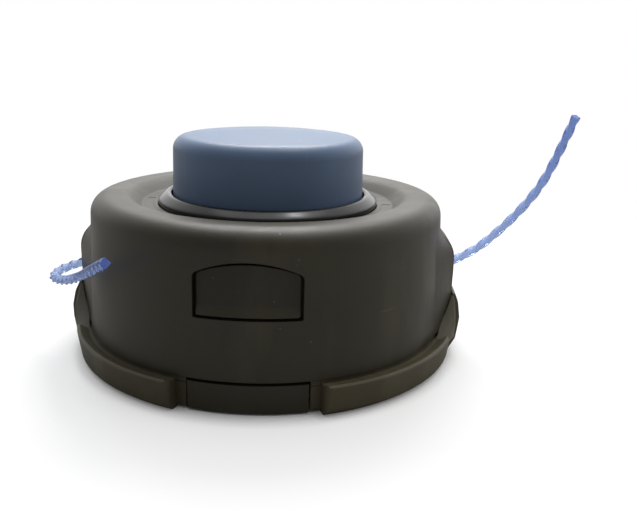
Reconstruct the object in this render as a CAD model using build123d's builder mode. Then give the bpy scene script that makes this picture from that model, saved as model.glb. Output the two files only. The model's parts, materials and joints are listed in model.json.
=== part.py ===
"""Bump-feed line trimmer head, standing on its drive side with the bump knob up.

Millimetres, +Z up. The origin is on the spin axis, in the plane of the base ring's lower edge.
The release latches face -Y and +Y, the line eyelets -X and +X.
"""
import os
from math import cos, hypot, pi, radians, sin, tan

from build123d import *

os.makedirs("parts", exist_ok=True)

# Clearances
running_clearance = 0.05  # radial, spool bush on the arbor and latch bars in their sockets
seat_clearance = 0.05  # inserts in their pockets
loose_clearance = 0.3  # pieces that pass each other or rest close together

# Housing: the cup that carries the eyelets
foot_radius = 60.4  # outside, at the seam
seam_z = 10.1  # lower edge of the cup
rim_z = 53.2
wall = 2.6
wall_draft = 2.2  # the wall leans in by this much from the seam to the rim
shoulder_fillet = 5.3
rim_width = 11.5  # from the shoulder to the dish
dish_run = 4.5
dish_fillet = 2.4
floor_width = 4.0  # flat floor of the dished top
floor_depth = 3.5
floor_fillet = 1.0
collar_gap = 1.5  # between the spool's neck and the hole in the floor
slit_length = 2.8  # a mould mark each side on the dished floor
slit_width = 0.6
slit_depth = 0.5

# Latch window
window_half_width = 15.4
window_drop = 8.8  # from the rim to the top of the arch
window_height = 16.4
window_rise = 3.8  # height of the arched top
window_corner = 1.8
sill_corner = 0.6

# Eyelet bosses
boss_reach = 3.35  # from the foot of the wall to the boss's face
boss_half_width = 8.0
boss_drop = 8.6  # from the rim to the boss's end inside the wall
boss_crown = 9.9  # radius of its rounded top
boss_crown_drop = 20.2  # from the rim to the start of the rounded top
boss_edge = 2.0
eyelet_drop = 24.6  # from the rim to the middle of the eyelet
eyelet_bore_radius = 3.8
eyelet_wall = 1.4
eyelet_flange_overhang = 1.3
eyelet_flange_thickness = 1.6
eyelet_flare = 1.1

# Base: the drive-side half
ring_overhang = 1.6  # from the foot of the housing's wall to the ring's lower edge
ring_flare = 3.1  # from the lower edge to the lip
ring_wall = 2.6
ring_edge = 0.3
skirt_flare = 2.0  # the ring's rounded lower part
skirt_height = 1.5
skirt_fillet = 1.6
lip_drop = 0.1  # from the seam to the top of the lip
lip_height = 0.8
lip_width = 0.8
lip_fillet = 0.4
crease_depth = 0.2  # fine line under the lip
gutter_width = 1.0  # dark gutter between the lip and the housing
gutter_depth = 1.0
gutter_fillet = 0.6
ledge_inset = 0.5  # ledge under the housing's edge, from the outside of its wall
spigot_height = 4.9
spigot_wall = 2.2
plate_drop = 2.0  # from the top of the ring to the plate
plate_thickness = 2.8
vane_count = 12
vane_thickness = 1.8
vane_clearance = 0.8  # the vanes end this far above the ring's lower edge
hub_wall = 3.0
hub_bottom_z = 1.4
post_wall = 1.4  # round the drive insert's flange
post_height = 10.0
arbor_wall = 3.4
arbor_drop = 1.2  # from the rim to the end of the arbor
arbor_cap = 4.0
arbor_chamfer = 0.8

# Base lugs in front of the bosses
lug_reach = 2.1  # out from the lip
lug_foot_drop = 6.6  # heights from the lip
lug_waist_drop = 3.2
lug_corner_height = 3.5
lug_shoulder_height = 7.8
lug_height = 10.8
lug_waist_inset = 0.9
lug_shoulder_inset = 0.65
lug_tip_thickness = 0.7
lug_foot_half_width = 14.5
lug_waist_half_width = 12.0
lug_corner_half_width = 10.0
lug_top_half_width = 6.5

# Drive insert: hexagonal nut with a flange, moulded into the hub
thread_minor_radius = 4.32  # M10 x 1.25, left-hand
nut_flats = 17.0
nut_bottom_z = 3.0
nut_length = 12.0
nut_flange_radius = 10.6
nut_flange_thickness = 2.0
mouth_radius = 6.0
shaft_bore_radius = 5.6

# Latches
paddle_inset = 0.2  # from the foot of the housing's wall
paddle_half_angle = 16.8
paddle_bottom_z = 0.6
paddle_gap = 1.0  # dark seam between a latch's foot and the housing
paddle_wall = 2.8
notch_half_angle = 20.3
notch_fillet = 2.6
latch_web = 2.5
latch_arm_thickness = 2.6
latch_arm_half_angle = 16.8
latch_arm_rise = 1.2  # above the window's arch
latch_pivot_inset = 7.2  # from the face of the latch's foot
latch_pivot_z = 4.2
latch_bar_radius = 1.7
latch_bar_reach = 2.9  # into each socket
latch_block_gap = 1.7  # between a latch's bar plate and the sockets
latch_swing_room = 0.9
socket_block_angle = 9.0
window_gap = 0.9
button_recess = 1.3
button_lip_height = 3.8
button_lip_recess = 0.15

# Spool and its travel
bump_travel = 7.0
spool_rest_gap = 0.3  # between the upper lugs and the housing's floor
neck_wall = 4.0
neck_bevel = 1.8  # height of the neck's sloping top
neck_lip = 0.7
flange_room = 12.0  # from the housing's rim to the flanges
flange_thickness = 2.5
flange_edge = 0.8
core_wall = 3.8
bush_wall = 3.0
bush_drop = 2.3
bush_rise = 5.2
snap_depth = 0.7
snap_height = 2.0
snap_rise = 1.8

# Index stops: six lugs on each face of the spool, six stops on the housing and on the base
index_count = 6
upper_lug_height = 3.0
upper_lug_half_angle = 9.6
upper_lug_offset = 0.7  # from the hole in the housing's floor
upper_lug_width = 4.5
upper_stop_half_angle = 10.0
lower_lug_height = 5.0
lower_lug_half_angle = 5.0
lower_lug_inset = 11.0  # from the flange's edge
lower_lug_width = 8.0
stop_gap_angle = 0.4  # between a lug and its stop at rest
lower_lead_angle = 18.0  # free turn to the next lower stop with the knob pressed

# Bump knob
knob_gap = 0.6  # between the knob and the neck's bore
knob_height = 20.7  # above the housing's rim
knob_taper = 0.55
knob_crown = 2.4
knob_edge_fillet = 4.5
knob_wall = 2.4
knob_rib_count = 6
knob_rib_thickness = 1.6
knob_rib_depth = 9.0
knob_rib_length = 16.5

# Spring and its seat
spring_gap = 1.6  # between the post and the spring
spring_room = 0.8  # between the spring and the spool's core
spring_wire = 1.8
spring_turns = 6.5
seat_thickness = 1.2

# Cutting line
line_diameter = 3.0
winding_depth = 13.7
winding_gap = 0.3
line_lift = 2.55  # from the winding to the middle of a line that leaves it

# Derived heights
floor_z = rim_z - floor_depth
ceiling_z = floor_z - wall
window_top_z = rim_z - window_drop
window_spring_z = window_top_z - window_rise
window_sill_z = window_top_z - window_height
boss_bottom_z = seam_z + loose_clearance
boss_top_z = rim_z - boss_drop
boss_crown_z = rim_z - boss_crown_drop
eyelet_z = rim_z - eyelet_drop
ring_height = seam_z - lip_drop
lip_z = ring_height - lip_height
gutter_z = ring_height - gutter_depth
plate_top_z = ring_height - plate_drop
plate_bottom_z = plate_top_z - plate_thickness
spigot_top_z = seam_z + spigot_height
lug_foot_z = ring_height - lug_foot_drop
lug_waist_z = ring_height - lug_waist_drop
lug_corner_z = ring_height + lug_corner_height
lug_shoulder_z = ring_height + lug_shoulder_height
lug_top_z = ring_height + lug_height
nut_top_z = nut_bottom_z + nut_length
arbor_top_z = rim_z - arbor_drop
paddle_top_z = seam_z - paddle_gap
latch_arm_top_z = window_top_z + latch_arm_rise
button_lip_z = window_sill_z + button_lip_height
neck_ridge_z = rim_z - neck_bevel
upper_flange_top_z = ceiling_z - spool_rest_gap - upper_lug_height
upper_flange_bottom_z = upper_flange_top_z - flange_thickness
lower_lug_bottom_z = plate_top_z + bump_travel + 2 * loose_clearance
lower_flange_bottom_z = lower_lug_bottom_z + lower_lug_height
lower_flange_top_z = lower_flange_bottom_z + flange_thickness
bush_bottom_z = upper_flange_bottom_z - bush_drop
bush_top_z = upper_flange_top_z + bush_rise
seat_top_z = bush_bottom_z - loose_clearance
seat_bottom_z = seat_top_z - seat_thickness
knob_top_z = rim_z + knob_height
knob_edge_z = knob_top_z - knob_crown

# Derived radii, widths and angles
rim_radius = foot_radius - wall_draft
dish_radius = rim_radius - rim_width
floor_radius = dish_radius - dish_run
hole_radius = floor_radius - floor_width
neck_radius = hole_radius - collar_gap
neck_bore = neck_radius - neck_wall
knob_radius = neck_bore - knob_gap
boss_face_x = foot_radius + boss_reach
eyelet_body_radius = eyelet_bore_radius + eyelet_wall
eyelet_flange_radius = eyelet_body_radius + eyelet_flange_overhang
base_radius = foot_radius + ring_overhang
skirt_radius = base_radius + skirt_flare
lip_radius = base_radius + ring_flare
ring_inner_radius = base_radius - ring_wall
gutter_radius = foot_radius + gutter_width
ledge_radius = foot_radius - ledge_inset
lug_radius = lip_radius + lug_reach
lug_inner_radius = hypot(boss_face_x, boss_half_width) + loose_clearance
post_radius = nut_flange_radius + post_wall
hub_radius = post_radius + hub_wall
arbor_radius = shaft_bore_radius + arbor_wall
paddle_radius = foot_radius - paddle_inset
latch_pivot_radius = paddle_radius - latch_pivot_inset
latch_slot_half_width = paddle_radius * sin(radians(paddle_half_angle)) + loose_clearance
latch_bar_half_length = latch_slot_half_width + latch_bar_reach
latch_block_half_width = latch_slot_half_width - latch_block_gap
plate_edge_radius = latch_pivot_radius - latch_bar_radius - latch_swing_room
flange_radius = rim_radius - flange_room
bush_bore = arbor_radius + running_clearance
spring_radius = post_radius + spring_gap + spring_wire / 2
core_bore = spring_radius + spring_wire / 2 + spring_room
core_radius = core_bore + core_wall
winding_radius = core_radius + winding_depth
upper_lug_inner = hole_radius + upper_lug_offset
upper_lug_outer = upper_lug_inner + upper_lug_width
lower_lug_outer = flange_radius - lower_lug_inset
lower_lug_inner = lower_lug_outer - lower_lug_width
upper_rest_angle = upper_stop_half_angle + upper_lug_half_angle + stop_gap_angle
lower_stop_angle = 2 * lower_lug_half_angle + lower_lead_angle
line_start = winding_radius + line_lift - boss_face_x
FRONT, REAR, RIGHT, LEFT = -90, 90, 0, 180  # directions, in degrees from +X

# Free line ends from the winding out through the eyelets, as points in cylinder coordinates:
# how far out from the boss's face, direction in degrees from the eyelet's, height over the eyelet
right_route = [
    (line_start, -42.6, -1.6),
    (-19.1, -17.7, -1.7),
    (-6.2, -1.5, -0.9),
    (3.1, 2.1, 1.7),
    (14.5, 5.1, 7.5),
    (24.9, 7.5, 17.2),
    (34.4, 9.0, 27.6),
    (41.4, 9.7, 38.9),
    (44.6, 10.1, 51.9),
]
left_route = [
    (line_start, -42.6, -1.2),
    (-19.1, -17.7, -1.0),
    (-6.2, -1.5, -0.6),
    (1.9, 2.4, -2.2),
    (7.0, 7.3, -3.2),
    (9.2, 13.3, -2.7),
    (8.9, 19.8, -0.4),
    (7.6, 26.8, 1.3),
    (6.0, 36.2, 3.1),
    (5.3, 47.3, 8.3),
    (4.6, 56.4, 14.5),
]


def housing_radius(z):
    """Outer radius of the housing's drafted wall at height z."""
    return foot_radius + (rim_radius - foot_radius) * (z - seam_z) / (rim_z - seam_z)


spigot_radius = housing_radius(spigot_top_z) - wall - loose_clearance
eyelet_length = boss_face_x - housing_radius(eyelet_z) + wall
boss_root = wall - seat_clearance  # the boss reaches this far into the wall


def latch_arm_radius(z):
    """Outer radius of a latch's arm, which follows the inside of the housing's wall."""
    return housing_radius(z) - wall - loose_clearance


def radial_plane(angle):
    """Plane through the axis: local x outward in this direction, local y up."""
    a = radians(angle)
    return Plane(origin=(0, 0, 0), x_dir=(cos(a), sin(a), 0), z_dir=(sin(a), -cos(a), 0))


def outward_plane(angle, distance):
    """Upright plane facing outward in this direction: local y up from z = 0."""
    a = radians(angle)
    return Plane(
        origin=(distance * cos(a), distance * sin(a), 0),
        x_dir=(-sin(a), cos(a), 0),
        z_dir=(cos(a), sin(a), 0),
    )


def ring_section(inner, outer, low, high, mode=Mode.ADD):
    """Draw the section of a plain ring into the current radial sketch."""
    with Locations(((inner + outer) / 2, (low + high) / 2)):
        Rectangle(outer - inner, high - low, mode=mode)


def sectors(first_angle, half_angle, inner, outer):
    """Draw the ring of index blocks, with radial sides, into the current flat sketch."""
    near, far = inner / 2, 2 * outer
    slope = tan(radians(half_angle))
    with PolarLocations(0, index_count, start_angle=first_angle):
        Polygon(
            (near, -near * slope),
            (far, -far * slope),
            (far, far * slope),
            (near, near * slope),
            align=None,
        )
    Circle(outer, mode=Mode.INTERSECT)
    Circle(inner, mode=Mode.SUBTRACT)


def window_face(gap):
    """Outline of a latch window seen from outside, drawn in by a gap for the latch's button."""
    half = window_half_width - gap
    low = window_sill_z + gap
    with BuildSketch() as outline:
        with BuildLine():
            Polyline((-half, window_spring_z), (-half, low), (half, low), (half, window_spring_z))
            ThreePointArc((half, window_spring_z), (0, window_top_z - gap), (-half, window_spring_z))
        make_face()
        fillet(outline.vertices().group_by(Axis.Y)[-1], window_corner)
        fillet(outline.vertices().group_by(Axis.Y)[0], sill_corner)
    return outline.sketch


# Boss that thickens the housing's wall where the line comes out
with BuildPart() as boss:
    with BuildSketch(Plane.XZ):
        with BuildLine():
            face_line = Line((boss_face_x, boss_bottom_z), (boss_face_x, boss_crown_z))
            crown = CenterArc((boss_face_x - boss_crown, boss_crown_z), boss_crown, 0, 45)
            blend = TangentArc(
                crown @ 1, (housing_radius(boss_top_z) - wall / 4, boss_top_z), tangent=crown % 1
            )
            Polyline(
                blend @ 1,
                (housing_radius(boss_top_z) - boss_root, boss_top_z),
                (housing_radius(boss_bottom_z) - boss_root, boss_bottom_z),
                face_line @ 0,
            )
        make_face()
    extrude(amount=boss_half_width, both=True)
    fillet(boss.faces().sort_by(Axis.X)[-1].edges().filter_by(Axis.Z), boss_edge)


# Housing
with BuildPart() as housing:
    with BuildSketch(Plane.XZ):
        with BuildLine():
            FilletPolyline(
                (housing_radius(seam_z - wall), seam_z - wall),
                (rim_radius, rim_z),
                (dish_radius, rim_z),
                (floor_radius, floor_z),
                (hole_radius, floor_z),
                radius=[shoulder_fillet, dish_fillet, floor_fillet],
            )
            offset(amount=wall, side=Side.LEFT)
        make_face()
    revolve(axis=Axis.Z)
    split(bisect_by=Plane.XY.offset(seam_z), keep=Keep.TOP)
    for turn in (RIGHT, LEFT):
        add(boss.part.rotate(Axis.Z, turn))
    # Pockets for the eyelets
    for direction in (RIGHT, LEFT):
        with BuildSketch(outward_plane(direction, boss_face_x)):
            with Locations((0, eyelet_z)):
                Circle(eyelet_flange_radius + seat_clearance)
        extrude(amount=-eyelet_flange_thickness - seat_clearance, mode=Mode.SUBTRACT)
        with BuildSketch(outward_plane(direction, boss_face_x)):
            with Locations((0, eyelet_z)):
                Circle(eyelet_body_radius + seat_clearance)
        extrude(amount=-eyelet_length - wall, mode=Mode.SUBTRACT)
    # Latch windows
    for direction in (FRONT, REAR):
        with BuildSketch(outward_plane(direction, dish_radius)):
            add(window_face(0))
        extrude(amount=foot_radius - dish_radius, mode=Mode.SUBTRACT)
    # Stops that hold the spool at rest
    with BuildSketch(Plane.XY.offset(ceiling_z)):
        sectors(0, upper_stop_half_angle, upper_lug_inner, upper_lug_outer)
    extrude(amount=-upper_lug_height + loose_clearance - spool_rest_gap)
    # Mould marks on the dished floor
    with BuildSketch(Plane.XY.offset(floor_z)):
        with PolarLocations((hole_radius + floor_radius) / 2, 2):
            Rectangle(slit_length, slit_width)
    extrude(amount=-slit_depth, mode=Mode.SUBTRACT)
housing.part.label = "housing"
export_step(housing.part, "parts/housing.step")


# Lug on the base ring, a tongue that stands in front of a boss and ramps down to the lip
with BuildPart() as lug:
    with BuildSketch(Plane.XZ):
        Polygon(
            (lip_radius - ring_wall, lug_foot_z),
            (skirt_radius, lug_foot_z),
            (lug_radius - lug_waist_inset, lug_waist_z),
            (lug_radius, lug_corner_z),
            (lug_radius - lug_shoulder_inset, lug_shoulder_z),
            (lug_inner_radius + lug_tip_thickness, lug_top_z),
            (lug_inner_radius, lug_top_z),
            (lug_inner_radius, lip_z),
            align=None,
        )
    revolve(axis=Axis.Z)
    with BuildSketch(Plane.YZ):
        Polygon(
            (-lug_foot_half_width, lug_foot_z),
            (lug_foot_half_width, lug_foot_z),
            (lug_waist_half_width, lug_waist_z),
            (lug_waist_half_width, ring_height),
            (lug_corner_half_width, lug_corner_z),
            (lug_top_half_width, lug_top_z),
            (-lug_top_half_width, lug_top_z),
            (-lug_corner_half_width, lug_corner_z),
            (-lug_waist_half_width, ring_height),
            (-lug_waist_half_width, lug_waist_z),
            align=None,
        )
    extrude(amount=lug_radius, mode=Mode.INTERSECT)


# Base
with BuildPart() as base:
    # Flared ring with its lip, the gutter, the ledge under the housing, the spigot and the plate
    with BuildSketch(Plane.XZ):
        with BuildLine():
            FilletPolyline(
                (ring_inner_radius, 0),
                (base_radius, 0),
                (skirt_radius, skirt_height),
                (lip_radius, lip_z),
                (lip_radius - lip_width, ring_height),
                (gutter_radius, gutter_z),
                (ledge_radius, gutter_z),
                radius=[ring_edge, skirt_fillet, lip_fillet, lip_fillet, gutter_fillet],
            )
            Polyline(
                (ledge_radius, gutter_z),
                (ledge_radius, seam_z),
                (spigot_radius, seam_z),
                (spigot_radius, spigot_top_z),
                (spigot_radius - spigot_wall, spigot_top_z),
                (spigot_radius - spigot_wall, plate_top_z),
                (arbor_radius, plate_top_z),
                (arbor_radius, plate_bottom_z),
                (ring_inner_radius, plate_bottom_z),
                (ring_inner_radius, 0),
            )
        make_face()
    revolve(axis=Axis.Z)
    # Notches either side of each latch, with rounded ring ends
    with BuildSketch() as plan:
        Circle(lip_radius + ring_edge)
        far = 2 * lip_radius
        slope = tan(radians(notch_half_angle))
        with BuildSketch(mode=Mode.SUBTRACT):
            with PolarLocations(0, 2, start_angle=FRONT):
                Polygon((0, 0), (far, -far * slope), (far, far * slope), align=None)
            Circle(ring_inner_radius, mode=Mode.SUBTRACT)
        corners = [v for v in plan.vertices() if hypot(v.X, v.Y) > lip_radius]
        fillet(corners, notch_fillet)
    extrude(amount=spigot_top_z, mode=Mode.INTERSECT)
    # Fine line under the lip
    with BuildSketch(Plane.XZ):
        Polygon(
            (lip_radius + crease_depth, lip_z - 2 * crease_depth),
            (lip_radius + crease_depth, lip_z + 2 * crease_depth),
            (lip_radius - crease_depth, lip_z),
            align=None,
        )
    revolve(axis=Axis.Z, mode=Mode.SUBTRACT)
    # Hub, spring post and arbor
    with BuildSketch(Plane.XZ):
        ring_section(0, hub_radius, hub_bottom_z, plate_top_z)
        ring_section(0, post_radius, plate_bottom_z, plate_top_z + post_height)
        ring_section(0, arbor_radius, plate_top_z, arbor_top_z)
    revolve(axis=Axis.Z)
    chamfer(base.edges().filter_by(GeomType.CIRCLE).sort_by(Axis.Z)[-1], arbor_chamfer)
    # Vanes under the plate
    with BuildSketch(Plane.XY.offset(vane_clearance)):
        with PolarLocations((hub_radius + ring_inner_radius) / 2, vane_count, 180 / vane_count):
            Rectangle(base_radius - ring_wall / 2 - hub_radius, vane_thickness)
    extrude(amount=plate_top_z - plate_thickness / 2 - vane_clearance)
    # Stops that hold the spool while the knob is pressed
    with BuildSketch(Plane.XY.offset(plate_top_z)):
        sectors(lower_stop_angle, lower_lug_half_angle, lower_lug_inner, lower_lug_outer)
    extrude(amount=lower_flange_bottom_z - bump_travel - loose_clearance - plate_top_z)
    # Blocks either side of each latch that carry its bars
    for direction in (FRONT, REAR):
        for side in (-1, 1):
            start = direction + side * (paddle_half_angle + socket_block_angle / 2) - socket_block_angle / 2
            with BuildSketch(radial_plane(start)):
                ring_section(
                    plate_edge_radius - ring_wall,
                    ring_inner_radius + ring_edge,
                    vane_clearance,
                    plate_top_z,
                )
            revolve(axis=Axis.Z, revolution_arc=socket_block_angle)
    for turn in (RIGHT, LEFT):
        add(lug.part.rotate(Axis.Z, turn))
    # Room for the latches: the slot for the arm and the sockets of the bars
    for direction in (FRONT, REAR):
        with BuildSketch(radial_plane(direction)):
            ring_section(
                plate_edge_radius, lip_radius + ring_wall, -ring_wall, spigot_top_z + ring_wall
            )
        extrude(amount=latch_slot_half_width, both=True, mode=Mode.SUBTRACT)
        with BuildSketch(radial_plane(direction)):
            with Locations((latch_pivot_radius, latch_pivot_z)):
                Circle(latch_bar_radius + running_clearance)
        extrude(amount=latch_bar_half_length + loose_clearance, both=True, mode=Mode.SUBTRACT)
    # Cavity of the drive insert, the mouth below it and the bore above it
    with BuildSketch(Plane.XY.offset(nut_bottom_z)):
        RegularPolygon(nut_flats / 2 + seat_clearance, 6, major_radius=False)
    extrude(amount=nut_length, mode=Mode.SUBTRACT)
    with BuildSketch(Plane.XZ):
        ring_section(0, mouth_radius, 0, nut_bottom_z)
        ring_section(0, nut_flange_radius + seat_clearance, nut_top_z - nut_flange_thickness, nut_top_z)
        ring_section(0, shaft_bore_radius, nut_bottom_z, arbor_top_z - arbor_cap)
    revolve(axis=Axis.Z, mode=Mode.SUBTRACT)
base.part.label = "base"
export_step(base.part, "parts/base.step")


# Drive insert
with BuildPart() as drive_nut:
    with BuildSketch(Plane.XY.offset(nut_bottom_z)):
        RegularPolygon(nut_flats / 2, 6, major_radius=False)
    extrude(amount=nut_length - nut_flange_thickness)
    with BuildSketch(Plane.XZ):
        ring_section(0, nut_flange_radius, nut_top_z - nut_flange_thickness, nut_top_z)
    revolve(axis=Axis.Z)
    with BuildSketch(Plane.XZ):
        ring_section(0, thread_minor_radius, nut_bottom_z, nut_top_z)
    revolve(axis=Axis.Z, mode=Mode.SUBTRACT)
drive_nut.part.label = "drive_nut"
export_step(drive_nut.part, "parts/drive_nut.step")


def build_latch(direction):
    """Release latch: window button on a tall arm, set-in foot and the two bars it swings on."""
    with BuildPart() as latch:
        with BuildSketch(outward_plane(direction, dish_radius)):
            add(window_face(window_gap))
        extrude(amount=foot_radius - dish_radius)
        with BuildSketch(radial_plane(direction - notch_half_angle)):
            with BuildLine():
                Polyline(
                    (latch_arm_radius(latch_arm_top_z) - latch_arm_thickness, window_sill_z),
                    (housing_radius(window_sill_z) - button_lip_recess, window_sill_z),
                    (housing_radius(window_sill_z) - button_lip_recess, window_sill_z + window_gap),
                    (housing_radius(button_lip_z) - button_recess, button_lip_z),
                    (housing_radius(latch_arm_top_z) - button_recess, latch_arm_top_z),
                    (latch_arm_radius(latch_arm_top_z) - latch_arm_thickness, latch_arm_top_z),
                    close=True,
                )
            make_face()
        revolve(axis=Axis.Z, revolution_arc=2 * notch_half_angle, mode=Mode.INTERSECT)
        # Arm, close inside the housing's wall
        with BuildSketch(radial_plane(direction - latch_arm_half_angle)):
            with BuildLine():
                Polyline(
                    (latch_arm_radius(paddle_top_z), paddle_top_z - latch_web),
                    (latch_arm_radius(latch_arm_top_z), latch_arm_top_z),
                    (latch_arm_radius(latch_arm_top_z) - latch_arm_thickness, latch_arm_top_z),
                    (latch_arm_radius(paddle_top_z) - latch_arm_thickness, paddle_top_z - latch_web),
                    close=True,
                )
            make_face()
        revolve(axis=Axis.Z, revolution_arc=2 * latch_arm_half_angle)
        # Foot that closes the ring between its notches
        with BuildSketch(radial_plane(direction - paddle_half_angle)):
            ring_section(paddle_radius - paddle_wall, paddle_radius, paddle_bottom_z, paddle_top_z)
            ring_section(
                latch_pivot_radius, paddle_radius, paddle_top_z - latch_web, paddle_top_z
            )
        revolve(axis=Axis.Z, revolution_arc=2 * paddle_half_angle)
        # Bars at the pivot
        with BuildSketch(radial_plane(direction)):
            ring_section(
                latch_pivot_radius - latch_bar_radius,
                latch_pivot_radius + latch_bar_radius,
                latch_pivot_z,
                paddle_top_z,
            )
        extrude(amount=latch_block_half_width, both=True)
        with BuildSketch(radial_plane(direction)):
            with Locations((latch_pivot_radius, latch_pivot_z)):
                Circle(latch_bar_radius)
        extrude(amount=latch_bar_half_length, both=True)
    return latch.part


for name, direction in (("front_latch", FRONT), ("rear_latch", REAR)):
    latch_part = build_latch(direction)
    latch_part.label = name
    export_step(latch_part, f"parts/{name}.step")


def build_eyelet(direction):
    """Flanged bush that the line leaves through, flush with the boss."""
    with BuildPart() as eyelet:
        with BuildSketch(outward_plane(direction, boss_face_x)):
            with Locations((0, eyelet_z)):
                Circle(eyelet_flange_radius)
        extrude(amount=-eyelet_flange_thickness)
        with BuildSketch(outward_plane(direction, boss_face_x)):
            with Locations((0, eyelet_z)):
                Circle(eyelet_body_radius)
        extrude(amount=-eyelet_length)
        with BuildSketch(outward_plane(direction, boss_face_x)):
            with Locations((0, eyelet_z)):
                Circle(eyelet_bore_radius)
        extrude(amount=-eyelet_length, mode=Mode.SUBTRACT)
        mouths = eyelet.edges().filter_by(GeomType.CIRCLE)
        fillet([e for e in mouths if abs(e.radius - eyelet_bore_radius) < seat_clearance], eyelet_flare)
    return eyelet.part


for name, direction in (("right_eyelet", RIGHT), ("left_eyelet", LEFT)):
    eyelet_part = build_eyelet(direction)
    eyelet_part.label = name
    export_step(eyelet_part, f"parts/{name}.step")


# Spool, whose neck is the collar round the knob
with BuildPart() as spool:
    with BuildSketch(Plane.XZ):
        ring_section(core_bore, core_radius, lower_flange_bottom_z, upper_flange_top_z)
        ring_section(core_bore, flange_radius, lower_flange_bottom_z, lower_flange_top_z)
        ring_section(bush_bore, flange_radius, upper_flange_bottom_z, upper_flange_top_z)
        ring_section(bush_bore, bush_bore + bush_wall, bush_bottom_z, bush_top_z)
        Polygon(
            (neck_bore, upper_flange_bottom_z),
            (neck_radius, upper_flange_bottom_z),
            (neck_radius, neck_ridge_z),
            (neck_bore + neck_lip, rim_z),
            (neck_bore, rim_z),
            align=None,
        )
        ring_section(
            neck_bore,
            neck_bore + snap_depth,
            upper_flange_top_z + snap_rise,
            upper_flange_top_z + snap_rise + snap_height,
            mode=Mode.SUBTRACT,
        )
    revolve(axis=Axis.Z)
    rims = spool.edges().filter_by(GeomType.CIRCLE)
    fillet([e for e in rims if abs(e.radius - flange_radius) < flange_edge], flange_edge)
    with BuildSketch(Plane.XY.offset(upper_flange_top_z)):
        sectors(-upper_rest_angle, upper_lug_half_angle, upper_lug_inner, upper_lug_outer)
    extrude(amount=upper_lug_height)
    with BuildSketch(Plane.XY.offset(lower_flange_bottom_z)):
        sectors(0, lower_lug_half_angle, lower_lug_inner, lower_lug_outer)
    extrude(amount=-lower_lug_height)
spool.part.label = "spool"
export_step(spool.part, "parts/spool.step")


# Bump knob: a hollow cap with a snap bead that clicks into the neck
with BuildPart() as knob:
    with BuildSketch(Plane.XZ) as knob_section:
        with BuildLine():
            side_line = Line((knob_radius, upper_flange_top_z), (knob_radius - knob_taper, knob_edge_z))
            TangentArc((0, knob_top_z), side_line @ 1, tangent=(1, 0))
            Polyline((0, knob_top_z), (0, upper_flange_top_z), side_line @ 0)
        make_face()
        fillet(knob_section.vertices().sort_by(Axis.X)[-2], knob_edge_fillet)
    revolve(axis=Axis.Z)
    offset(amount=-knob_wall, openings=knob.faces().sort_by(Axis.Z)[0])
    with BuildSketch(Plane.XZ):
        ring_section(
            knob_radius - knob_wall / 2,
            knob_radius + knob_gap + snap_depth - loose_clearance,
            upper_flange_top_z + snap_rise + loose_clearance,
            upper_flange_top_z + snap_rise + snap_height - loose_clearance,
        )
    revolve(axis=Axis.Z)
    rib_inner = knob_radius - knob_wall - knob_rib_length
    for i in range(knob_rib_count):
        with BuildSketch(radial_plane(i * 360 / knob_rib_count)):
            Polygon(
                (rib_inner, knob_edge_z - knob_rib_depth),
                (knob_radius - knob_wall / 2, knob_edge_z - knob_rib_depth),
                (knob_radius - knob_wall / 2, knob_edge_z - knob_edge_fillet),
                (knob_radius - knob_edge_fillet + knob_wall / 2, knob_edge_z - knob_wall / 2),
                (rib_inner, knob_edge_z - knob_wall / 2),
                align=None,
            )
        extrude(amount=knob_rib_thickness / 2, both=True)
knob.part.label = "knob"
export_step(knob.part, "parts/knob.step")


# Return spring round the post
with BuildPart() as spring:
    with BuildLine() as coil:
        Helix(
            (seat_bottom_z - plate_top_z - spring_wire) / spring_turns,
            seat_bottom_z - plate_top_z - spring_wire,
            spring_radius,
            center=(0, 0, plate_top_z + spring_wire / 2),
        )
    with BuildSketch(Plane(origin=coil.line @ 0, z_dir=coil.line % 0)):
        Circle(spring_wire / 2)
    sweep(path=coil.line, is_frenet=True)
spring.part.label = "spring"
export_step(spring.part, "parts/spring.step")


# Washer between the spring and the spool
with BuildPart() as spring_seat:
    with BuildSketch(Plane.XZ):
        ring_section(
            arbor_radius + loose_clearance, core_bore - loose_clearance, seat_bottom_z, seat_top_z
        )
    revolve(axis=Axis.Z)
spring_seat.part.label = "spring_seat"
export_step(spring_seat.part, "parts/spring_seat.step")


# Line stored on the spool
with BuildPart() as winding:
    low = lower_flange_top_z + winding_gap
    high = upper_flange_bottom_z - winding_gap
    turns = int((high - low) // line_diameter)
    pitch = (high - low) / turns
    turn_radius = winding_radius - line_diameter / 2
    with BuildSketch(Plane.XZ):
        with BuildLine():
            for i in range(turns):
                ThreePointArc(
                    (turn_radius, low + i * pitch),
                    (winding_radius, low + (i + 0.5) * pitch),
                    (turn_radius, low + (i + 1) * pitch),
                )
            Polyline(
                (turn_radius, high),
                (core_radius + winding_gap, high),
                (core_radius + winding_gap, low),
                (turn_radius, low),
            )
        make_face()
    revolve(axis=Axis.Z)
winding.part.label = "winding"
export_step(winding.part, "parts/winding.step")


def route_points(route, direction):
    """Points of a free line end that leaves through the eyelet in this direction."""
    points = []
    for out, angle, rise in route:
        a = radians(direction + angle)
        r = boss_face_x + out
        points.append(Vector(r * cos(a), r * sin(a), eyelet_z + rise))
    return points


def route_radii(points):
    """Bend radius at each inner point of a route, as large as its two runs allow."""
    runs = [b - a for a, b in zip(points, points[1:])]
    return [
        0.45 * min(a.length, b.length) / tan(radians(a.get_angle(b)) / 2)
        for a, b in zip(runs, runs[1:])
    ]


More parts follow.
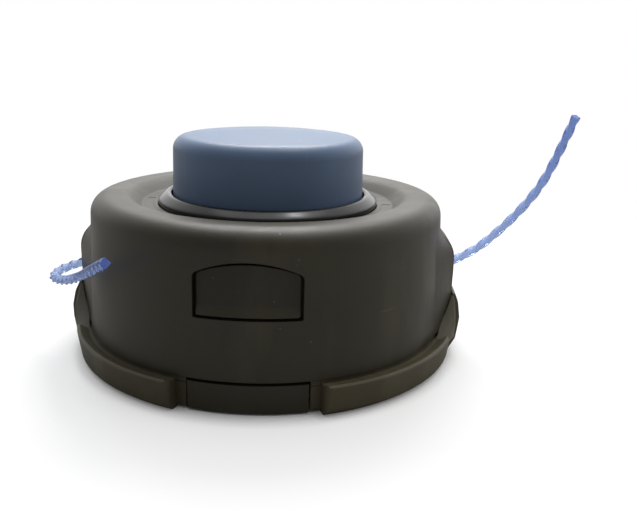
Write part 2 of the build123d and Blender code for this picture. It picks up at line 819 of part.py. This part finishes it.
# Free line ends
for name, route, direction in (("right_line", right_route, RIGHT), ("left_line", left_route, LEFT)):
    points = route_points(route, direction)
    radii = route_radii(points)
    print(name, "bend radii", [round(r, 1) for r in radii])
    with BuildPart() as line_end:
        with BuildLine() as path:
            FilletPolyline(*points, radius=radii)
        with BuildSketch(Plane(origin=path.line @ 0, z_dir=path.line % 0)):
            Circle(line_diameter / 2)
        sweep(path=path.line)
    line_end.part.label = name
    export_step(line_end.part, f"parts/{name}.step")
    length = path.wire().length
    section = pi * line_diameter**2 / 4
    print(name, "length", round(length, 1), "volume ratio", line_end.part.volume / section / length)
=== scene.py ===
"""Looks of a bump-feed trimmer head: materials, twisted cutting line, light and camera.

Metres, in the CAD part's own frame: +Z up the spin axis, front latch towards -Y.
"""

import json
from math import cos, pi, radians, sin

import bpy
from mathutils import Matrix, Vector


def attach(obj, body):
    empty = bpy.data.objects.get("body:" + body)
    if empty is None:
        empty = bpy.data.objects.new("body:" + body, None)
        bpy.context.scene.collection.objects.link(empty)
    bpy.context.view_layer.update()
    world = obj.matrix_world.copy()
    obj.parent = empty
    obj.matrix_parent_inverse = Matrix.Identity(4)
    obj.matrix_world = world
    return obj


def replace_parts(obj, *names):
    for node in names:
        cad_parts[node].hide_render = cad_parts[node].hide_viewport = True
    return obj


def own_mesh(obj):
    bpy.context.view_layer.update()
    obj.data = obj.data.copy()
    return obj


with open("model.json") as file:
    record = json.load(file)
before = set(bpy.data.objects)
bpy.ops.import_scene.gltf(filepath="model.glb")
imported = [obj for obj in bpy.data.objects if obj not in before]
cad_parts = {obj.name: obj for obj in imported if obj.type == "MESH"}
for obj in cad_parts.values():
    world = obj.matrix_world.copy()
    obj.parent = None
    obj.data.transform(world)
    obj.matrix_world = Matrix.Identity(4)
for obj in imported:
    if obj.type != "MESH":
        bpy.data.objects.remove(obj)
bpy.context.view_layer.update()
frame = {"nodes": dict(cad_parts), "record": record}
scene = bpy.context.scene
scene.view_settings.view_transform = "Standard"

# Camera, fitted to the photograph's frame of 637 by 532 pixels
CAMERA_PLACE = (0.02366, -0.24569, 0.09938)
CAMERA_HEADING = 1.39  # degrees, to the left of +Y
CAMERA_DIP = 16.39  # degrees below the horizon
CAMERA_ROLL = 1.52  # degrees
FOCAL_PIXELS = 730.24
FRAME_WIDTH = 637
SENSOR_WIDTH = 36.0  # mm

# Studio: floor, world and lamps
FLOOR_SIZE = 6.0
FLOOR_FOOT = (0.061, 0.068)  # distances from the middle over which the glow starts
FLOOR_RUN_OUT = (0.08, 0.3)  # distances over which it grows to full white
FLOOR_GLOW = 0.5  # share of the glow close to the object
WORLD_BACK = (0.18, 0.98, 0.0)  # the bright side
WORLD_START = -0.4  # along the bright side, where the light starts to grow
WORLD_POWER = 1.1
WORLD_DIM = 0.22
WORLD_BRIGHT = 1.5
LAMP_AIM = (0, 0, 0.05)
LAMPS = [  # name, place, size and watts
    ("back_softbox", (-0.02, 0.5, 0.65), (0.48, 0.3), 4.4),
    ("spot_softbox", (0.21, 0.085, 0.92), (0.12, 0.12), 0.7),
    ("top_softbox", (0.0, 0.05, 0.9), (0.9, 0.6), 2.0),
]

# Cutting line: a twisted square section with sharp ridges
LINE_RIDGE = 0.00164  # radius over the ridges
LINE_FLAT = 0.0012  # radius at the middle of a side
LINE_RIDGES = 4
RIDGE_STEPS = (-42, -30, -15, 0, 15, 30, 42)  # degrees from the middle of a side
RIGHT_PITCH = -0.0245  # one full twist, left-handed
LEFT_PITCH = -0.0165
RIGHT_ROUTE = [
    (0.0267, -0.0245, 0.0270),
    (0.0425, -0.0136, 0.0269),
    (0.0575, -0.0015, 0.0277),
    (0.0665, 0.0024, 0.0310),
    (0.0748, 0.0070, 0.0342),
    (0.0868, 0.0114, 0.0444),
    (0.0959, 0.0142, 0.0553),
    (0.1015, 0.0146, 0.0687),
    (0.1040, 0.0105, 0.0802),
]
LEFT_ROUTE = [
    (-0.0267, 0.0245, 0.0274),
    (-0.0425, 0.0136, 0.0276),
    (-0.0575, 0.0015, 0.0280),
    (-0.0659, -0.0024, 0.0262),
    (-0.0684, -0.0070, 0.0260),
    (-0.0705, -0.0115, 0.0257),
    (-0.0699, -0.0175, 0.0252),
    (-0.0628, -0.0260, 0.0269),
    (-0.0538, -0.0360, 0.0317),
    (-0.0463, -0.0470, 0.0374),
    (-0.0385, -0.0583, 0.0430),
]

# Dish floor: outline of the edge round its hole, radius and height
HOLE_EDGE = [
    (0.0369, 0.0493),
    (0.0386, 0.0493),
    (0.0386, 0.04974),
    (0.0371, 0.04974),
    (0.0369, 0.0496),
]

# Collar: outline of its rounded upper face
COLLAR_FACE = [
    (0.0330, 0.0515),
    (0.0365, 0.0502),
    (0.03682, 0.0503),
    (0.03686, 0.0510),
    (0.03675, 0.0514),
    (0.0365, 0.05168),
    (0.0356, 0.05237),
    (0.03475, 0.0530),
    (0.03445, 0.0532),
    (0.0341, 0.05336),
    (0.0337, 0.05345),
    (0.03335, 0.05345),
    (0.03305, 0.05335),
    (0.03295, 0.05315),
]

# Bosses: soft flanks between the eyelet bosses and the wall
BOSS_FACE = 0.06375
BOSS_EDGE_IN = 0.0006  # from the boss's face to the middle of its rounded edge
BOSS_EDGE_Y = 0.0074
BOSS_FOOT_Z = 0.0106
BOSS_CROWN_Z = 0.033
BOSS_CROWN = 0.0099
BOSS_TOP_Z = 0.0446
BOSS_TOP_IN = 0.0007  # from the wall's outside in to the boss's top end
WALL_FOOT = (0.0101, 0.0604)  # height and radius
WALL_TOP = (0.0532, 0.0582)
FLANK_FOOT_ANGLE = 19.0  # degrees from the boss's middle
FLANK_BACK_IN = 0.0015  # from the wall's outside in to the flank's hidden corner
FLANK_ROWS = 24
FLANK_STEPS = 4

# Lugs: ramps that swoop from the base's lip up to each lug
RAMP_TOP_ANGLE = 6.0  # degrees from the lug's middle
RAMP_FOOT_ANGLE = 23.0
RAMP_BOTTOM_Z = 0.0079
RAMP_FOOT_Z = 0.0086
RAMP_TOP_Z = 0.0203
RAMP_EDGE = 0.0006
RAMP_INNER = [(0.0, 0.0642), (0.41, 0.06125), (1.0, 0.0608)]  # share of the way down, radius
RAMP_OUTER = [(0.0, 0.0652), (0.3, 0.0661), (1.0, 0.0640)]
RAMP_STEPS = 24

# Surfaces
CREST_Z = WALL_TOP[0]  # top of the housing
CREST_FADE_Z = (CREST_Z - 0.008, CREST_Z - 0.006)
CREST_FADE_OUT = (0.0435, 0.0455)  # distances from the spin axis
BOSS_FADE_X = (0.05, 0.054)
LIP_Z = 0.0318  # top of the band along the foot of the latch buttons; higher up the buttons carry painted shade, so the band reads as a lit lip
LIP_BLUR = 0.0003
LIP_PAINTED_SHADE = 0.45  # painted shade: how much darker a button is painted over LIP_Z
EDGE_RADIUS = 0.0004
BROAD_EDGE_RADIUS = 0.005
METAL_EDGE_RADIUS = 0.0002
GRAIN = 0.00006  # depth of the moulded texture
LINE_IOR = 1.2
SHARP_ANGLE = 30  # degrees, for the pieces made here

# Colours, linear
WHITE = (1.0, 1.0, 1.0, 1.0)
BLACK = (0.0, 0.0, 0.0, 1.0)
DARK_GREY = (0.036, 0.0305, 0.0165, 1.0)
# the housing's grey plastic painted paler for the base and its ramps: painted light, standing in
# for light from below
BASE_PAINTED_LIGHT_GREY = (0.078, 0.067, 0.037, 1.0)
HAIR_GREY = (0.25, 0.25, 0.24, 1.0)
DUST_GREY = (0.3, 0.3, 0.29, 1.0)
FLOOR_GREY = (0.38, 0.37, 0.355, 1.0)
EYELET_GREY = (0.62, 0.62, 0.63, 1.0)
STEEL_GREY = (0.5, 0.5, 0.49, 1.0)
GLOSS_BLACK = (0.012, 0.012, 0.0115, 1.0)
KNOB_BLUE = (0.103, 0.165, 0.28, 1.0)
SCRATCH_BLUE = (0.35, 0.42, 0.5, 1.0)
PALE_BLUE = (0.42, 0.53, 0.8, 1.0)
DEEP_BLUE = (0.24, 0.34, 0.68, 1.0)
CUT_BLUE = (0.16, 0.24, 0.72, 1.0)


class Shader:
    """One procedural material: adds nodes and joins them to the principled shader."""

    def __init__(self, name):
        self.material = bpy.data.materials.new(name)
        self.material.use_nodes = True
        self.tree = self.material.node_tree
        self.bsdf = self.tree.nodes["Principled BSDF"]
        self.place = self.add("ShaderNodeTexCoord").outputs["Object"]

    def add(self, kind, inputs=None, **settings):
        """Add a node; each input is a value or another node's output."""
        node = self.tree.nodes.new(kind)
        for key, value in settings.items():
            setattr(node, key, value)
        for key, value in (inputs or {}).items():
            self.feed(node.inputs[key], value)
        return node

    def feed(self, socket, value):
        if isinstance(value, bpy.types.NodeSocket):
            self.tree.links.new(value, socket)
        else:
            socket.default_value = value

    def set(self, **values):
        """Feed the principled shader's inputs, with underscores for spaces."""
        for key, value in values.items():
            self.feed(self.bsdf.inputs[key.replace("_", " ")], value)

    def stretched(self, scale, turn=(0, 0, 0)):
        """The surface's place, scaled unevenly and turned, for streaks."""
        return self.add(
            "ShaderNodeMapping", {"Vector": self.place, "Scale": scale, "Rotation": turn}
        ).outputs["Vector"]

    def noise(self, scale, detail=3.0, place=None, roughness=0.55):
        return self.add(
            "ShaderNodeTexNoise",
            {
                "Vector": place or self.place,
                "Scale": scale,
                "Detail": detail,
                "Roughness": roughness,
            },
        ).outputs["Fac"]

    def remap(self, value, low, high, to_low=0.0, to_high=1.0):
        return self.add(
            "ShaderNodeMapRange",
            {
                "Value": value,
                "From Min": low,
                "From Max": high,
                "To Min": to_low,
                "To Max": to_high,
            },
        ).outputs["Result"]

    def math(self, operation, a, b):
        return self.add("ShaderNodeMath", {0: a, 1: b}, operation=operation).outputs["Value"]

    def mix(self, factor, a, b):
        """Mix two colours."""
        node = self.add("ShaderNodeMix", data_type="RGBA")
        self.feed(node.inputs["Factor"], factor)
        self.feed(node.inputs["A"], a)
        self.feed(node.inputs["B"], b)
        return node.outputs["Result"]

    def bump(self, height, distance, strength=1.0, normal=None):
        inputs = {"Height": height, "Distance": distance, "Strength": strength}
        if normal is not None:
            inputs["Normal"] = normal
        return self.add("ShaderNodeBump", inputs).outputs["Normal"]

    def soft_edges(self, radius):
        """A normal that rounds the solid's edges."""
        return self.add("ShaderNodeBevel", {"Radius": radius}, samples=4).outputs["Normal"]


def shade(base, factor):
    """A colour made darker or paler."""
    return tuple(factor * c for c in base[:3]) + (1.0,)


def moulded_plastic(name, base, rough, wear, soft, band=False):
    """Textured moulded plastic with mottling, rub marks, hair scratches and dust specks.

    With band, a latch button gets painted shade over LIP_Z, so the paler band under it stands in
    for a lip facing up into the light.
    """
    s = Shader(name)
    mottle = s.noise(45.0, 4.0)
    tone = s.mix(s.remap(mottle, 0.3, 0.7), shade(base, 0.82), shade(base, 1.2))
    if band:
        height = s.add("ShaderNodeSeparateXYZ", {"Vector": s.place}).outputs["Z"]
        # painted shade over the latch button's upper part; the band under LIP_Z stands in for a
        # lip lit from overhead
        painted_shade_above = s.remap(height, LIP_Z - LIP_BLUR, LIP_Z + LIP_BLUR, 0.0, LIP_PAINTED_SHADE)
        tone = s.mix(painted_shade_above, tone, BLACK)
    rub = s.remap(s.noise(9.0, 5.0, s.stretched((6, 6, 1.5))), 0.56, 0.75)
    tone = s.mix(s.math("MULTIPLY", rub, 0.35 * wear), tone, shade(base, 2.6))
    hair = s.noise(1.0, 2.0, s.stretched((60, 60, 900), (0.4, 0.9, 0.2)))
    hair = s.math("MULTIPLY", s.remap(hair, 0.70, 0.74), rub)
    tone = s.mix(s.math("MULTIPLY", hair, 0.3 * wear), tone, HAIR_GREY)
    specks = s.remap(s.noise(620.0, 1.0), 0.79, 0.83)
    tone = s.mix(s.math("MULTIPLY", specks, 0.45 * wear), tone, DUST_GREY)
    texture = s.noise(1900.0, 2.0)
    rough = s.remap(mottle, 0.3, 0.7, rough - 0.05, rough + 0.05)
    rough = s.math("SUBTRACT", rough, s.math("MULTIPLY", rub, 0.08 * wear))
    s.set(
        Base_Color=tone,
        Roughness=rough,
        Normal=s.bump(texture, GRAIN, 0.6, soft(s)),
    )
    return s.material


def fine_edges(s):
    """Edges with a small radius all over."""
    return s.soft_edges(EDGE_RADIUS)


def plain_edges(s):
    """Edges as they are."""
    return None


def housing_edges(s):
    """Crisp edges round the windows, broad soft ones on the crest and beside the bosses."""
    axes = s.add("ShaderNodeSeparateXYZ", {"Vector": s.place}).outputs
    level = s.add("ShaderNodeVectorMath", {0: s.place, 1: (1, 1, 0)}, operation="MULTIPLY")
    out = s.add("ShaderNodeVectorMath", {0: level.outputs["Vector"]}, operation="LENGTH")
    crest = s.math(
        "MULTIPLY",
        s.remap(axes["Z"], *CREST_FADE_Z),
        s.remap(out.outputs["Value"], *CREST_FADE_OUT),
    )
    aside = s.add("ShaderNodeMath", {0: axes["X"]}, operation="ABSOLUTE").outputs["Value"]
    node = s.add("ShaderNodeMix", data_type="VECTOR")
    s.feed(node.inputs["Factor"], s.math("MAXIMUM", crest, s.remap(aside, *BOSS_FADE_X)))
    s.feed(node.inputs[4], s.soft_edges(EDGE_RADIUS))
    s.feed(node.inputs[5], s.soft_edges(BROAD_EDGE_RADIUS))
    return node.outputs[1]


def satin_plastic(name, base):
    """Smooth satin plastic of the knob, slightly paler where it is rubbed."""
    s = Shader(name)
    cloud = s.noise(30.0, 5.0)
    tone = s.mix(s.remap(cloud, 0.3, 0.7), shade(base, 0.9), shade(base, 1.12))
    scratch = s.noise(1.0, 3.0, s.stretched((900, 70, 70), (0.3, 0.2, 0.8)))
    scratch = s.math("MULTIPLY", s.remap(scratch, 0.69, 0.73), 0.12)
    tone = s.mix(scratch, tone, SCRATCH_BLUE)
    s.set(
        Base_Color=tone,
        Roughness=s.remap(cloud, 0.3, 0.7, 0.4, 0.48),
        Normal=s.bump(s.noise(1500.0, 2.0), 0.00003, 0.5, s.soft_edges(EDGE_RADIUS)),
    )
    return s.material


def gloss_plastic(name, base):
    """Polished black plastic of the spool with fine running marks round its axis."""
    s = Shader(name)
    ring = s.noise(1.0, 2.0, s.stretched((40, 40, 1500)))
    s.set(
        Base_Color=s.mix(s.remap(ring, 0.35, 0.65), shade(base, 0.85), shade(base, 1.3)),
        Roughness=s.remap(s.noise(80.0, 4.0), 0.3, 0.7, 0.16, 0.3),
        Normal=s.bump(ring, 0.00001, 0.4, s.soft_edges(EDGE_RADIUS)),
    )
    return s.material


def line_plastic(name, pale, deep, clearness):
    """Translucent extruded line, paler low down by the eyelets and deeper towards its tip."""
    s = Shader(name)
    height = s.add("ShaderNodeSeparateXYZ", {"Vector": s.place}).outputs["Z"]
    tone = s.mix(s.remap(height, 0.028, 0.07), pale, deep)
    cloud = s.noise(220.0, 3.0)
    s.set(
        Base_Color=s.mix(s.math("MULTIPLY", s.remap(cloud, 0.35, 0.7), 0.35), tone, deep),
        Roughness=s.remap(cloud, 0.3, 0.7, 0.14, 0.24),
        Transmission_Weight=clearness,
        IOR=LINE_IOR,
    )
    return s.material


def bare_metal(name, base, rough):
    """Plated or plain metal with faint turning marks."""
    s = Shader(name)
    turning = s.noise(1.0, 2.0, s.stretched((300, 300, 3000)))
    s.set(
        Base_Color=s.mix(s.remap(turning, 0.35, 0.65), shade(base, 0.85), shade(base, 1.05)),
        Metallic=1.0,
        Roughness=s.remap(turning, 0.35, 0.65, rough - 0.08, rough + 0.08),
        Normal=s.bump(turning, 0.00002, 0.3, s.soft_edges(METAL_EDGE_RADIUS)),
    )
    return s.material


materials = {
    "housing": moulded_plastic("housing_plastic", DARK_GREY, 0.46, 1.0, housing_edges),
    # base and ramps: painted light, paler than the housing's plastic
    "base": moulded_plastic("base_plastic", BASE_PAINTED_LIGHT_GREY, 0.5, 1.0, fine_edges),
    # latch buttons: painted shade over their upper part, leaving a paler band for a lit lip
    "latch": moulded_plastic(
        "latch_plastic", shade(DARK_GREY, 1.05), 0.5, 0.6, fine_edges, band=True
    ),
    "flank": moulded_plastic("flank_plastic", DARK_GREY, 0.46, 1.0, plain_edges),
    "ramp": moulded_plastic("ramp_plastic", BASE_PAINTED_LIGHT_GREY, 0.5, 1.0, plain_edges),
    "spool": gloss_plastic("spool_plastic", GLOSS_BLACK),
    "knob": satin_plastic("knob_plastic", KNOB_BLUE),
    "line": line_plastic("line_plastic", PALE_BLUE, DEEP_BLUE, 0.7),
    "eyelet": bare_metal("eyelet_metal", EYELET_GREY, 0.32),
    "steel": bare_metal("plated_steel", STEEL_GREY, 0.35),
}
cut_end = line_plastic("line_cut_end", CUT_BLUE, shade(CUT_BLUE, 0.8), 0.1)

for entry in frame["record"]["subparts"]:
    piece = frame["nodes"][entry["node"]]
    piece.data.materials.clear()
    piece.data.materials.append(materials[entry["material_slot"]])


def new_piece(name, verts, faces):
    """A mesh object in the scene."""
    mesh = bpy.data.meshes.new(name)
    mesh.from_pydata(verts, [], faces)
    piece = bpy.data.objects.new(name, mesh)
    scene.collection.objects.link(piece)
    return piece


def smooth_piece(name, verts, faces, material):
    """A piece shaded smooth, apart from its sharp edges."""
    piece = new_piece(name, verts, faces)
    mesh = piece.data
    mesh.polygons.foreach_set("use_smooth", [True] * len(mesh.polygons))
    mesh.set_sharp_from_angle(angle=radians(SHARP_ANGLE))
    mesh.materials.append(material)
    return piece


def spline_points(name, route):
    """Points along the route's own smooth spline."""
    curve = bpy.data.curves.new(name, "CURVE")
    curve.dimensions = "3D"
    curve.resolution_u = 40
    spline = curve.splines.new("NURBS")
    spline.points.add(len(route) - 1)
    for point, place in zip(spline.points, route):
        point.co = (*place, 1.0)
    spline.order_u = 3
    spline.use_endpoint_u = True
    holder = bpy.data.objects.new(name, curve)
    scene.collection.objects.link(holder)
    bpy.context.view_layer.update()
    mesh = bpy.data.meshes.new_from_object(holder)
    points = [v.co.copy() for v in mesh.vertices]
    bpy.data.objects.remove(holder)
    bpy.data.meshes.remove(mesh)
    return points


def line_section():
    """Angle and radius of each point round the line's section: four sides, slightly hollow."""
    section = []
    for ridge in range(LINE_RIDGES):
        for step in RIDGE_STEPS:
            rise = (abs(step) / 45) ** 2
            angle = radians(ridge * 360 / LINE_RIDGES + step)
            section.append((angle, LINE_FLAT + (LINE_RIDGE - LINE_FLAT) * rise))
    return section


def twisted_line(name, route, pitch):
    """A free line end: the section carried along the spline without roll, and twisted."""
    path = spline_points(name + "_path", route)
    section = line_section()
    around = len(section)
    side = (path[1] - path[0]).cross(Vector((0, 0, 1))).normalized()
    verts, faces, run = [], [], 0.0
    for i, point in enumerate(path):
        ahead = path[min(i + 1, len(path) - 1)] - path[max(i - 1, 0)]
        ahead.normalize()
        side = (side - ahead * side.dot(ahead)).normalized()
        other = ahead.cross(side)
        if i:
            run += (point - path[i - 1]).length
        turn = 2 * pi * run / pitch
        for angle, radius in section:
            out = side * cos(angle + turn) + other * sin(angle + turn)
            verts.append(point + out * radius)
    for i in range(len(path) - 1):
        for k in range(around):
            a, b = i * around + k, i * around + (k + 1) % around
            faces.append((a, b, b + around, a + around))
    last = (len(path) - 1) * around
    faces.append(tuple(reversed(range(around))))
    faces.append(tuple(range(last, last + around)))
    piece = new_piece(name, verts, faces)
    mesh = piece.data
    mesh.polygons.foreach_set("use_smooth", [len(p.vertices) == 4 for p in mesh.polygons])
    mesh.materials.append(materials["line"])
    mesh.materials.append(cut_end)
    for face in mesh.polygons[-2:]:
        face.material_index = 1
    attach(piece, "body")
    return piece


def turned_ring(name, profile, material, steps=192):
    """A ring turned about the spin axis from a closed outline of radius and height."""
    verts, faces = [], []
    for i in range(steps):
        angle = 2 * pi * i / steps
        verts += [(r * cos(angle), r * sin(angle), z) for r, z in profile]
    around = len(profile)
    for i in range(steps):
        for k in range(around):
            a, b = i * around + k, i * around + (k + 1) % around
            c, d = (b + around) % len(verts), (a + around) % len(verts)
            faces.append((a, d, c, b))
    return smooth_piece(name, verts, faces, material)


def trim_rings():
    """The edge round the floor's hole, close to the collar, and the collar's rounded face."""
    edge = turned_ring("hole_edge", HOLE_EDGE, materials["housing"])
    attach(edge, "body")
    face = turned_ring("collar_face", COLLAR_FACE, materials["spool"])
    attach(face, "spool_group")


def wall_radius(z):
    """Outside radius of the housing's wall at height z."""
    share = (z - WALL_FOOT[0]) / (WALL_TOP[0] - WALL_FOOT[0])
    return WALL_FOOT[1] + share * (WALL_TOP[1] - WALL_FOOT[1])


def boss_reach(z):
    """How far out a boss's face stands at height z."""
    rise = z - BOSS_CROWN_Z
    if rise <= 0:
        return BOSS_FACE
    bend = BOSS_CROWN * sin(pi / 4)
    if rise <= bend:
        return BOSS_FACE - BOSS_CROWN + (BOSS_CROWN**2 - rise**2) ** 0.5
    share = (rise - bend) / (BOSS_TOP_Z - BOSS_CROWN_Z - bend)
    low = BOSS_FACE - BOSS_CROWN + bend
    return low + share * (wall_radius(BOSS_TOP_Z) - BOSS_TOP_IN - low)


def flank_row(z):
    """Section of a boss's soft flank at height z, from the wall to the boss's edge and back in."""
    radius = wall_radius(z)
    foot = radians(FLANK_FOOT_ANGLE)
    wall_end = Vector((radius * cos(foot), radius * sin(foot), z))
    boss_end = Vector((boss_reach(z) - BOSS_EDGE_IN, BOSS_EDGE_Y, z))
    row = [wall_end.lerp(boss_end, i / FLANK_STEPS) for i in range(FLANK_STEPS + 1)]
    row.append(Vector((radius - FLANK_BACK_IN, BOSS_EDGE_Y, z)))
    return row


def along(table, share):
    """Value at a share of the way along a table of shares and values."""
    for (low, first), (high, second) in zip(table, table[1:]):
        if share <= high:
            return first + (second - first) * (share - low) / (high - low)
    return table[-1][1]


def ramp_row(share):
    """Section of a lug's ramp at a share of the way down to the lip."""
    angle = radians(RAMP_TOP_ANGLE + share * (RAMP_FOOT_ANGLE - RAMP_TOP_ANGLE))
    inner, outer = along(RAMP_INNER, share), along(RAMP_OUTER, share)
    top = RAMP_FOOT_Z + (RAMP_TOP_Z - RAMP_FOOT_Z) * (1 - share) ** 2
    outline = [
        (inner, RAMP_BOTTOM_Z),
        (outer, RAMP_BOTTOM_Z),
        (outer, top - RAMP_EDGE),
        (outer - RAMP_EDGE, top),
        (inner, top),
    ]
    return [Vector((r * cos(angle), r * sin(angle), z)) for r, z in outline]


def beside_bosses(name, rows, material):
    """A closed form through rows of points, once on each side of each eyelet boss."""
    verts, faces = [], []
    around = len(rows[0])
    for side_x in (1, -1):
        for side_y in (1, -1):
            first = len(verts)
            for row in rows:
                verts += [(p.x * side_x, p.y * side_y, p.z) for p in row]
            fresh = []
            for i in range(len(rows) - 1):
                for k in range(around):
                    p, q = first + i * around + k, first + i * around + (k + 1) % around
                    fresh.append((p, p + around, q + around, q))
            last = first + (len(rows) - 1) * around
            fresh.append(tuple(first + k for k in range(around)))
            fresh.append(tuple(last + k for k in reversed(range(around))))
            faces += fresh if side_x * side_y > 0 else [tuple(reversed(f)) for f in fresh]
    piece = smooth_piece(name, verts, faces, material)
    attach(piece, "body")


def return_spring():
    """The return spring, which on the real head shortens as the knob is pressed, as a copy of the
    CAD node's mesh riding on the body.
    """
    coil = frame["nodes"]["spring"]
    piece = coil.copy()
    piece.name = "return_spring"
    piece.data = coil.data.copy()
    scene.collection.objects.link(piece)
    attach(piece, "body")
    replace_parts(piece, "spring")
    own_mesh(piece)


trim_rings()
flank_step = (BOSS_TOP_Z - BOSS_FOOT_Z) / FLANK_ROWS
flank_rows = [flank_row(BOSS_FOOT_Z + i * flank_step) for i in range(FLANK_ROWS + 1)]
ramp_rows = [ramp_row(i / RAMP_STEPS) for i in range(RAMP_STEPS + 1)]
beside_bosses("boss_flanks", flank_rows, materials["flank"])
beside_bosses("lug_ramps", ramp_rows, materials["ramp"])
return_spring()
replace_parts(twisted_line("right_line_end", RIGHT_ROUTE, RIGHT_PITCH), "right_line")
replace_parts(twisted_line("left_line_end", LEFT_ROUTE, LEFT_PITCH), "left_line")


def white_to_eye(tree):
    """1 for rays that the camera sees or that pass through the clear line, else 0."""
    rays = tree.nodes.new("ShaderNodeLightPath")
    either = tree.nodes.new("ShaderNodeMath")
    either.operation = "MAXIMUM"
    tree.links.new(rays.outputs["Is Camera Ray"], either.inputs[0])
    tree.links.new(rays.outputs["Is Transmission Ray"], either.inputs[1])
    return either.outputs["Value"]


def white_floor():
    """A floor that shows the shadow and runs out to white, and is dull for bounced light."""
    bpy.ops.mesh.primitive_plane_add(size=FLOOR_SIZE, location=(0, 0, 0))
    floor = bpy.context.object
    floor.name = "floor"
    s = Shader("floor_white")
    away = s.add("ShaderNodeVectorMath", {0: s.place}, operation="LENGTH").outputs["Value"]
    pale = s.add("ShaderNodeBsdfDiffuse", {"Color": WHITE}).outputs["BSDF"]
    white = s.add("ShaderNodeEmission", {"Color": WHITE, "Strength": 1.0}).outputs["Emission"]
    run_out = s.remap(away, *FLOOR_RUN_OUT, FLOOR_GLOW, 1.0)
    glow = s.math("MULTIPLY", s.remap(away, *FLOOR_FOOT), run_out)
    shown = s.add("ShaderNodeMixShader", {0: glow, 1: pale, 2: white}).outputs["Shader"]
    dull = s.add("ShaderNodeBsdfDiffuse", {"Color": FLOOR_GREY}).outputs["BSDF"]
    both = s.add("ShaderNodeMixShader", {0: white_to_eye(s.tree), 1: dull, 2: shown})
    s.feed(s.tree.nodes["Material Output"].inputs["Surface"], both.outputs["Shader"])
    s.tree.nodes.remove(s.bsdf)
    floor.data.materials.append(s.material)


def studio_world():
    """White to the camera; for light, bright behind the object and dim in front of it."""
    world = bpy.data.worlds.new("studio")
    world.use_nodes = True
    tree = world.node_tree
    tree.nodes.clear()
    new = tree.nodes.new
    place = new("ShaderNodeTexCoord")
    back = new("ShaderNodeVectorMath")
    back.operation = "DOT_PRODUCT"
    back.inputs[1].default_value = WORLD_BACK
    depth = new("ShaderNodeMapRange")
    depth.inputs["From Min"].default_value = WORLD_START
    steep = new("ShaderNodeMath")
    steep.operation = "POWER"
    steep.inputs[1].default_value = WORLD_POWER
    level = new("ShaderNodeMapRange")
    level.inputs["To Min"].default_value = WORLD_DIM
    level.inputs["To Max"].default_value = WORLD_BRIGHT
    pick = new("ShaderNodeMix")
    pick.inputs["B"].default_value = 1.0
    background = new("ShaderNodeBackground")
    background.inputs["Color"].default_value = WHITE
    output = new("ShaderNodeOutputWorld")
    join = tree.links.new
    join(place.outputs["Generated"], back.inputs[0])
    join(back.outputs["Value"], depth.inputs["Value"])
    join(white_to_eye(tree), pick.inputs["Factor"])
    join(depth.outputs["Result"], steep.inputs[0])
    join(steep.outputs["Value"], level.inputs["Value"])
    join(level.outputs["Result"], pick.inputs["A"])
    join(pick.outputs["Result"], background.inputs["Strength"])
    join(background.outputs["Background"], output.inputs["Surface"])
    scene.world = world


def soft_lamp(name, place, size, power):
    """A rectangular lamp aimed at the object."""
    data = bpy.data.lights.new(name, "AREA")
    data.shape = "RECTANGLE"
    data.size, data.size_y = size
    data.energy = power
    lamp = bpy.data.objects.new(name, data)
    lamp.location = place
    lamp.rotation_euler = (Vector(LAMP_AIM) - Vector(place)).to_track_quat("-Z", "Y").to_euler()
    scene.collection.objects.link(lamp)


def fitted_camera():
    """The camera that took the photograph, as fitted."""
    data = bpy.data.cameras.new("camera")
    data.sensor_width = SENSOR_WIDTH
    data.lens = SENSOR_WIDTH * FOCAL_PIXELS / FRAME_WIDTH
    heading, dip, roll = (radians(a) for a in (CAMERA_HEADING, CAMERA_DIP, CAMERA_ROLL))
    turn = (
        Matrix.Rotation(heading, 3, "Z")
        @ Matrix.Rotation(pi / 2 - dip, 3, "X")
        @ Matrix.Rotation(roll, 3, "Z")
    )
    camera = bpy.data.objects.new("camera", data)
    camera.matrix_world = Matrix.Translation(CAMERA_PLACE) @ turn.to_4x4()
    scene.collection.objects.link(camera)
    scene.camera = camera


white_floor()
studio_world()
for lamp in LAMPS:
    soft_lamp(*lamp)
fitted_camera()
